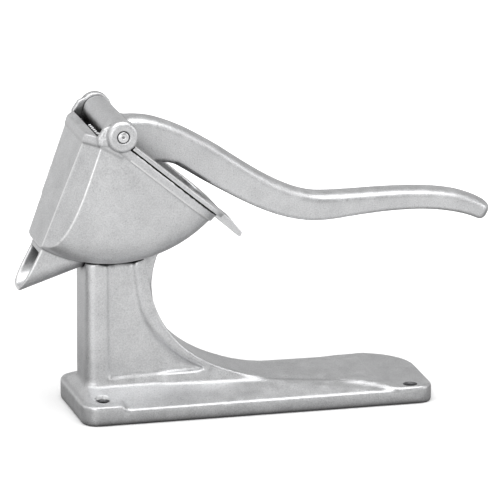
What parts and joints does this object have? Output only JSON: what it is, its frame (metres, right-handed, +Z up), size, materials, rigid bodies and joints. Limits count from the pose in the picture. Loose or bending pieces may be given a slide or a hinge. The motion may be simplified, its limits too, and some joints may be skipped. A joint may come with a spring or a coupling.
{
  "type": "manual juice press",
  "caption": "Hand lever citrus press: cast stand, bowl-shaped hopper with a spout, slotted lift-out strainer and an S-curved lever with a hinged press plate.",
  "frame": {"origin": "on the table, under the middle of the base plate", "axes": "+Z up, +X from the spout end towards the lever's grip, so the spout points to -X; the hinge axis lies along Y"},
  "size_m": [0.3405, 0.096, 0.2175],
  "materials": {
    "casting": "satin cast, tumbled",
    "strainer": "satin cast, tumbled",
    "pin": "bright turned",
    "screws": "bright",
    "spring_steel": "dark"
  },
  "bodies": {
    "press_body": {"stand": "casting", "hopper": "casting", "hopper_screws": "screws", "strainer": "strainer", "hinge_pin": "pin", "retaining_ring": "spring_steel"},
    "lever": {"lever": "casting", "press_plate": "casting", "plate_screws": "screws"}
  },
  "joints": [
    {"name": "lever_hinge", "type": "hinge", "parent": "press_body", "child": "lever", "pos_m": [-0.0975, 0, 0.2065], "axis": [0, -1, 0], "range_deg": [0, 95]}
  ]
}
